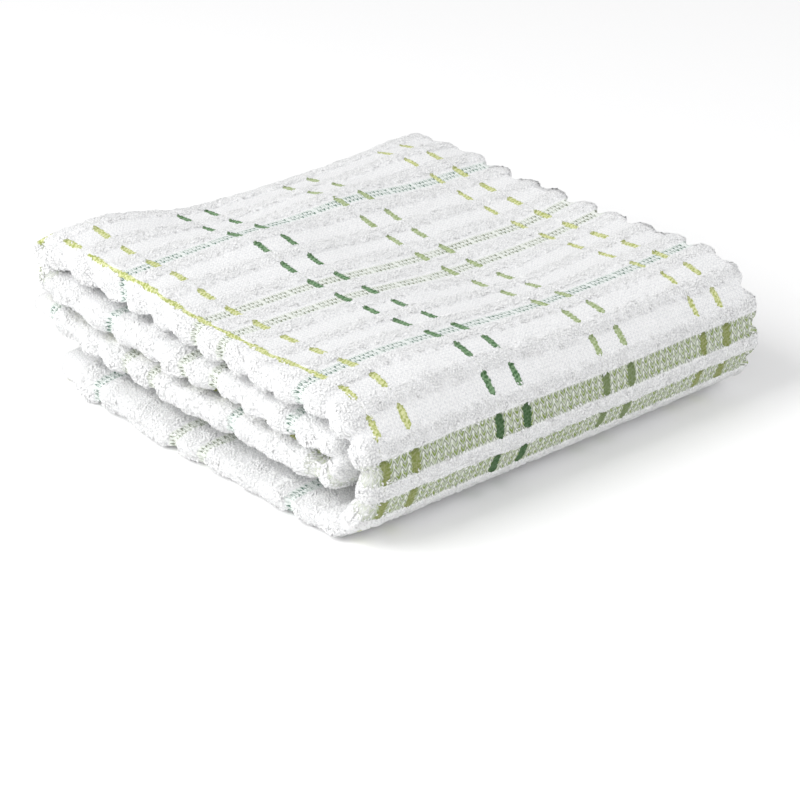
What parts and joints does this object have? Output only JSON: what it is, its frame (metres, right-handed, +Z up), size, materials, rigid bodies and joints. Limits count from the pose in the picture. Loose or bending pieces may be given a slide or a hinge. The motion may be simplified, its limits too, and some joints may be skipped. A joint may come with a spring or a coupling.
{
  "type": "folded terry kitchen towel",
  "caption": "White ribbed terry kitchen towel with green window-pane stripes, dry and folded into a flat soft block that lies on a surface.",
  "frame": {"origin": "under the middle of the folded towel, on the surface it rests on", "axes": "+Z up; +X along the ribs, from the wide left fold to the free selvedge; -Y towards the big rounded fold that holds all the layers"},
  "size_m": [0.1736, 0.181, 0.0532],
  "materials": {
    "white_terry": "white ribbed cotton terry with woven lime, dark green and sage stripes"
  },
  "bodies": {
    "root": {"towel": "white_terry"}
  },
  "joints": []
}
